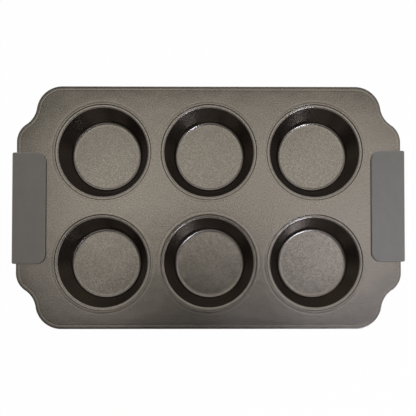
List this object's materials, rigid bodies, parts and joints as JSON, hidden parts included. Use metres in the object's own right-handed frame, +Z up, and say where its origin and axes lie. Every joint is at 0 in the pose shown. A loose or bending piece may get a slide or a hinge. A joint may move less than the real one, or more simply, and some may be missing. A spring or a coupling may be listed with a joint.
{
  "type": "muffin pan",
  "caption": "Rectangular muffin pan: tapered round cups pressed in one coated sheet with a rolled rim, and a pull-off silicone grip on each end tab.",
  "frame": {"origin": "centre of the footprint, on the plane that the undersides of the cup floors stand on", "axes": "+X along the row of cups from the left grip to the right grip, +Y across the pan, +Z up out of the cups"},
  "size_m": [0.3012, 0.187, 0.0337],
  "materials": {
    "nonstick_steel": "satin graphite non-stick coating with a fine metallic grain",
    "grip_silicone": "matt grey silicone"
  },
  "bodies": {
    "pan": {"pan_sheet": "nonstick_steel"},
    "left_grip": {"left_grip": "grip_silicone"},
    "right_grip": {"right_grip": "grip_silicone"}
  },
  "joints": [
    {"name": "left_grip_pull", "type": "slide", "parent": "pan", "child": "left_grip", "axis": [-1, 0, 0], "range_m": [0, 0.03]},
    {"name": "right_grip_pull", "type": "slide", "parent": "pan", "child": "right_grip", "axis": [1, 0, 0], "range_m": [0, 0.03]}
  ]
}
